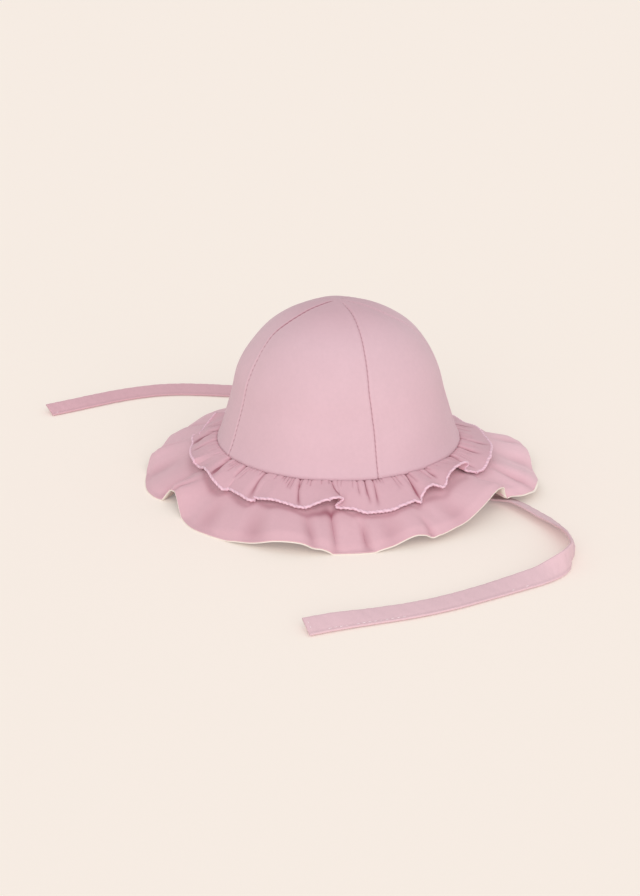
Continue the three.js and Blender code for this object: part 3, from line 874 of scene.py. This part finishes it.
class HAT_OT_ties(bpy.types.Operator):
    """Lays the two flat cloth ties on the table"""

    bl_idname = "hat.ties"
    bl_label = "Ties"

    def execute(self, context):
        settings = cloth()
        thread = spun_thread("polyester tie thread", settings.tie_thread, 0.5)
        for side, route in TIE_ROUTES.items():
            colour = getattr(settings, f"tie_{side}")
            pink = cotton(f"cotton poplin {side} tie", colour, shade_of(colour, 0.6))
            self.tie(f"tie_{side}_cloth", f"tie_{side}", route, pink, thread)
        return {"FINISHED"}

    def tie(self, name, node, route, pink, thread):
        rows = []
        for x, y, over, tilt in route:
            turn = math.radians(tilt)
            half = (TIE_WIDTH * math.sin(turn) + TIE_THICKNESS * math.cos(turn)) / 2
            rows.append((x, y, over + half))
        line = line_through(rows, 0.5, mirrored=True)
        tilts = np.interp(
            np.arange(len(line)) / 24, np.arange(len(route)), [row[3] for row in route]
        )
        count = round(along(line)[-1]) + 1
        line, tilts = evenly(line, count, tilts)
        run = along(line)
        ahead = np.gradient(line, axis=0)
        ahead /= np.linalg.norm(ahead, axis=1, keepdims=True)
        level = np.cross(ahead, UP)
        level /= np.linalg.norm(level, axis=1, keepdims=True)
        turn = -np.radians(tilts)[:, None]
        across = level * np.cos(turn) + np.cross(ahead, level) * np.sin(turn)
        above = np.cross(across, ahead)

        half, thick = TIE_WIDTH / 2, TIE_THICKNESS
        section = [(side, 0.5) for side in np.linspace(-half + thick / 2, half - thick / 2, 13)]
        section += [(half + out, rise) for out, rise in round_edge(thick, 4)[1:-1]]
        section += [(side, -0.5) for side in np.linspace(half - thick / 2, -half + thick / 2, 7)]
        section += [(-half - out, rise) for out, rise in round_edge(thick, 4)[::-1][1:-1]]
        bm = bmesh.new()
        ring = [bm.verts.new((0, side, rise)) for side, rise in section]
        edges = [bm.edges.new((a, b)) for a, b in zip(ring, ring[1:] + ring[:1])]
        near_end = bm.faces.new(ring)
        for step in range(1, len(line)):
            made = bmesh.ops.extrude_edge_only(bm, edges=edges)["geom"]
            moved = [item for item in made if isinstance(item, bmesh.types.BMVert)]
            bmesh.ops.translate(bm, verts=moved, vec=(1, 0, 0))
            edges = [item for item in made if isinstance(item, bmesh.types.BMEdge)]
        bmesh.ops.contextual_create(bm, geom=edges)
        bmesh.ops.recalc_face_normals(bm, faces=bm.faces)
        piece = finish_piece(name, bm, [pink])
        step, side, rise = places_of(piece.data).T
        index = np.clip(np.rint(step).astype(int), 0, len(line) - 1)
        at = run[index]
        # The row of stitches draws the cloth in 1.8 mm from the left-hand edge.
        stitched = 1.8 - half
        channel = np.exp(-(((side - stitched) / 0.6) ** 2))
        crinkle = 0.14 * np.sin(at * 0.9 + 1.3 * np.sin(at * 0.23)) * np.sin(at * 0.31 + side * 0.4)
        pillow = 0.12 * (1 - (side / half) ** 2)
        top = rise > 0
        lift = np.where(top, pillow + crinkle * (1 - channel) - 0.28 * channel, 0.3 * crinkle)
        end = np.minimum(at, run[-1] - at)
        pinch = 1 - 0.35 * np.exp(-((end / 0.8) ** 2))
        places = line[index] + across[index] * side[:, None]
        places += above[index] * (rise * thick * pinch + lift)[:, None]
        # The stitched channel is painted a little darker on top: painted shade in its groove.
        lay(piece, places, np.stack([at, side + half], -1), 0.22 * channel * top)
        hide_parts(node)

        stitch = cloth().stitch / MM
        spots = np.arange(1.6, run[-1] - 1.2, stitch)
        to_end = run[-1] - spots
        spots = spots[np.any([(to_end > a) & (to_end < b) for a, b in TIE_STITCHES[node]], axis=0)]
        spot = [np.stack([np.interp(spots, run, v[:, k]) for k in range(3)], -1)
                for v in (line, ahead, across, above)]
        middle, forward, sideways, upright = spot
        sunk = thick / 2 - 0.2 + 0.16 * np.sin(spots * 0.37) + 0.06 * np.sin(spots * 1.7)
        places = middle + sideways * stitched + upright * sunk[:, None]
        # A short row closes the free end.
        closing = np.arange(stitched + stitch, half - 1, stitch)
        last = np.full(len(closing), len(line) - 1 - 2)
        places = np.vstack(
            [places, line[last] + across[last] * closing[:, None] + above[last] * (thick / 2)]
        )
        forward = np.vstack([forward, across[last]])
        upright = np.vstack([upright, above[last]])
        rows_of_thread = dashes(
            name.replace("cloth", "stitches"), places, forward, upright,
            (stitch * 0.62, 0.5, 0.45), thread,
        )
        rows_of_thread.parent = None
        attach(rows_of_thread, "root")


class HAT_OT_brim(bpy.types.Operator):
    """Lays the wavy brim and the cream lining that shows at its hem"""

    bl_idname = "hat.brim"
    bl_label = "Brim"

    def execute(self, context):
        settings = cloth()
        pink = cotton("cotton poplin brim", settings.brim, linear(SEAM_SHADE_HEX))
        cream = cotton("cotton lawn lining", settings.cream, linear(LINING_SHADE_HEX))
        shares = np.linspace(0, 1, 46)
        brim = cloth_ring(
            "brim_cloth", self.over_lining, BRIM_WALL, BRIM_SPAN, np.ones_like, shares, 720, [pink],
            hem_taper, self.in_shade,
        )
        # The lining's underside takes painted shadow, deepest away from the hem.
        lining = cloth_ring(
            "brim_lining_cloth", lining_under, LINING_WALL, BRIM_SPAN, self.lining_reach, shares,
            720, [cream], hem_taper, lambda azimuth, share: 0.75 * (1 - smoothstep(share, 0.9, 0.99)),
            -1,
        )
        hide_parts("brim")
        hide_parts("brim_lining")
        return {"FINISHED"}

    def in_shade(self, azimuth, share):
        """How much painted shade the brim takes: in its creases, close under the ruffle's edge, and
        across the front, which is painted darker than the side lobes, the right lobe lightest, as if
        less light fell on them. How much deeper in colour the brim is: in its creases and close
        under the ruffle's edge, where this stands in for shade, and across the front, to follow the
        photograph's tones."""
        at = (azimuth - RUFFLE_EDGE[0][0]) % 360 * 10
        reach, stand = (np.interp(at, np.arange(3601), curve) for curve in EDGE_CURVES[1:])
        past = share * BRIM_SPAN - reach
        under = np.exp(-(((past - 0.8 - 0.4 * stand) / (1.2 + 0.2 * stand)) ** 2))
        under = under * np.clip(0.18 + 0.055 * stand, 0, 0.6) * crest(azimuth, 10, 100)
        front = 0.26 - 0.085 * smoothstep(np.abs(azimuth), 40, 75)
        front = front - 0.175 * crest(azimuth, 118, 45) * smoothstep(share, 0.3, 0.7)
        return np.clip(0.12 * brim_relief(azimuth, share, 0) + under + front, 0, 1)

    def lining_reach(self, azimuth):
        """How far the lining reaches, in shares of the brim's span: it rolls out further under
        the two raised folds."""
        show = 0.4 + 0.15 * np.sin(np.radians(azimuth * 7 + 20)) * np.cos(np.radians(azimuth * 3))
        show = show + 0.5 * crest(azimuth, 97, 15)
        return 1 + show / BRIM_SPAN

    def over_lining(self, azimuth, share):
        """The underside of the brim's pink cloth."""
        distance = (LINING_WALL + CLOTH_GAP) * hem_taper(share)
        return raised(brim_under, distance)(azimuth, share)


class HAT_OT_ruffle(bpy.types.Operator):
    """Gathers the ruffle over the brim and overlocks its edge"""

    bl_idname = "hat.ruffle"
    bl_label = "Ruffle"

    def execute(self, context):
        settings = cloth()
        pink = cotton("cotton poplin ruffle", settings.ruffle, linear(SEAM_SHADE_HEX))
        thread = spun_thread("polyester overlock thread", settings.edge_thread, 2.0)
        ruffle = cloth_ring(
            "ruffle_cloth", ruffle_under, RUFFLE_WALL, RUFFLE_SPAN, np.ones_like,
            [*np.linspace(0, 0.2, 9), *np.linspace(0.2, 1, 22)[1:]], 1440, [pink], np.ones_like,
            self.pleat_and_seam_shade,
        )
        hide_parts("ruffle")
        self.overlock(thread)
        return {"FINISHED"}

    def pleat_and_seam_shade(self, azimuth, share):
        """How much painted shade the cloth takes: in its pleats and gathers, and in a line along the
        seam under the crown.
        """
        creased = 0.75 * np.clip(pleat_depth(azimuth, share, 0.5), 0, 1.2)
        return np.clip(creased + 0.6 * np.exp(-((share * RUFFLE_SPAN / 1.1) ** 4)), 0, 1)

    def overlock(self, thread):
        """A bead of looped thread round the ruffle's edge."""
        turns = np.linspace(0, 2 * math.pi, 8, endpoint=False)
        section = [(0.1 * math.cos(turn), 0.1 * math.sin(turn)) for turn in turns]
        edge = ring_of("ruffle_overlock", section, 2880, [thread])
        azimuth, out, rise = ring_places(edge)
        turn = np.arctan2(rise, out)
        width = cloth().edge_width / MM
        loops = 0.5 + 0.5 * np.cos(np.radians(azimuth) * 300 + turn)
        bulk = 0.92 + 0.4 * loops
        share = 1 - (0.38 * width) / RUFFLE_SPAN + 0.5 * width * bulk * np.cos(turn) / RUFFLE_SPAN
        base = ruffle_under(azimuth, np.minimum(share, 1))
        inner = ruffle_under(azimuth, np.minimum(share, 1) - 0.05)
        past = np.maximum(share - 1, 0)[:, None] / 0.05
        standing = upwards(ruffle_under, azimuth, np.minimum(share, 1))
        thick = (RUFFLE_WALL / 2 + 0.2) * bulk * np.sin(turn) + RUFFLE_WALL / 2
        places = base + (base - inner) * past + standing * thick[:, None]
        arc = np.radians(azimuth) * (SEAM_RADIUS + RUFFLE_REACH)
        lay(edge, places, np.stack([arc, turn * width / 2], -1))


class HAT_OT_crown(bpy.types.Operator):
    """Sews the crown's panels together over its lining"""

    bl_idname = "hat.crown"
    bl_label = "Crown"

    def execute(self, context):
        settings = cloth()
        pink = cotton("cotton poplin crown", settings.crown, linear(SEAM_SHADE_HEX))
        cream = cotton("cotton lawn crown lining", settings.cream, shade_of(settings.cream, 0.7))
        for number in range(len(CROWN_SEAMS)):
            gore(number, [pink])
        self.lining([cream])
        return {"FINISHED"}

    def lining(self, materials):
        """The dome inside the crown, spun from its section and closed at its pole."""
        depth = CROWN_WALL + CROWN_LINING_CLEAR
        foot = SEAM_HEIGHT - SEAM_STACK
        shares = np.linspace(0, 1, 70)
        outer = np.stack(crown_point(shares, depth), -1)
        inner = np.stack(crown_point(shares, depth + LINING_WALL), -1)
        outer[:, 0], inner[:, 0] = np.maximum(outer[:, 0], 0), np.maximum(inner[:, 0], 0)
        line = [*outer, (SEAM_RADIUS - depth, foot), (SEAM_RADIUS - depth - LINING_WALL, foot)]
        line += [*inner[::-1]]
        bm = bmesh.new()
        points = [bm.verts.new((radius * MM, 0, height * MM)) for radius, height in line]
        edges = [bm.edges.new(pair) for pair in zip(points, points[1:])]
        bmesh.ops.spin(
            bm, geom=points + edges, cent=(0, 0, 0), axis=(0, 0, 1), angle=2 * math.pi, steps=180,
            use_merge=True, use_duplicate=False,
        )
        bmesh.ops.remove_doubles(bm, verts=bm.verts, dist=1e-6)
        bmesh.ops.recalc_face_normals(bm, faces=bm.faces)
        made = finish_piece("crown_lining_cloth", bm, materials)
        places = places_of(made.data) / MM
        azimuth = np.degrees(np.arctan2(places[:, 0], -places[:, 1]))
        flat = np.stack([np.radians(azimuth) * SEAM_RADIUS, places[:, 2]], -1)
        beside = np.min([np.abs(apart(azimuth, seam)) for seam in CROWN_SEAMS], axis=0)
        near = beside * np.pi / 180 * np.hypot(places[:, 0], places[:, 1])
        # The lining is painted darker along its seams: painted shade in them.
        lay(made, places, flat, 0.6 * np.exp(-((near / 0.7) ** 2)))
        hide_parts("crown_lining")


class HAT_OT_stage(bpy.types.Operator):
    """Sets the pale floor and the soft studio light"""

    bl_idname = "hat.stage"
    bl_label = "Stage"

    def execute(self, context):
        scene = context.scene
        settings = scene.hat_stage
        bm = bmesh.new()
        bmesh.ops.create_grid(bm, x_segments=2, y_segments=2, size=20)
        floor = finish_piece("floor", bm, [card("matt card", settings.floor, settings.glow)])
        floor.parent = None
        del floor["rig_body"]
        key = bpy.data.lights.new("key", "SUN")
        key.energy = settings.key
        key.angle = math.radians(70)
        lamp = bpy.data.objects.new("key", key)
        scene.collection.objects.link(lamp)
        azimuth, elevation = math.radians(26), math.radians(22)
        towards = Vector(
            (math.sin(azimuth) * math.cos(elevation), -math.cos(azimuth) * math.cos(elevation),
             math.sin(elevation))
        )
        lamp.rotation_euler = towards.to_track_quat("Z", "Y").to_euler()
        world = bpy.data.worlds.new("studio")
        world.use_nodes = True
        tree = world.node_tree
        tree.nodes.clear()
        sky = add_node(
            tree, "ShaderNodeBackground", {"Color": (1, 1, 1, 1), "Strength": settings.sky}
        )
        add_node(tree, "ShaderNodeOutputWorld", {"Surface": sky.outputs["Background"]})
        scene.world = world
        scene.view_settings.view_transform = "Standard"
        return {"FINISHED"}


class HAT_PT_panel(bpy.types.Panel):
    """Shows the cloth's and the stage's settings, and a button for each step"""

    bl_idname = "HAT_PT_panel"
    bl_label = "Baby Hat"
    bl_space_type = "VIEW_3D"
    bl_region_type = "UI"
    bl_category = "Baby Hat"

    def draw(self, context):
        for group in (context.scene.hat_cloth, context.scene.hat_stage):
            column = self.layout.column()
            for name in type(group).__annotations__:
                column.prop(group, name)
        for operator in OPERATORS:
            self.layout.operator(operator.bl_idname)


OPERATORS = (HAT_OT_camera, HAT_OT_ties, HAT_OT_crown, HAT_OT_brim, HAT_OT_ruffle, HAT_OT_stage)
CLASSES = (HatClothSettings, HatStageSettings, *OPERATORS, HAT_PT_panel)


def register():
    for item in CLASSES:
        bpy.utils.register_class(item)
    bpy.types.Scene.hat_cloth = bpy.props.PointerProperty(type=HatClothSettings)
    bpy.types.Scene.hat_stage = bpy.props.PointerProperty(type=HatStageSettings)


def unregister():
    del bpy.types.Scene.hat_stage
    del bpy.types.Scene.hat_cloth
    for item in reversed(CLASSES):
        bpy.utils.unregister_class(item)


def main():
    register()
    bpy.ops.hat.camera()
    bpy.ops.hat.ties()
    bpy.ops.hat.brim()
    bpy.ops.hat.ruffle()
    bpy.ops.hat.crown()
    bpy.ops.hat.stage()


if __name__ == "__main__":
    main()
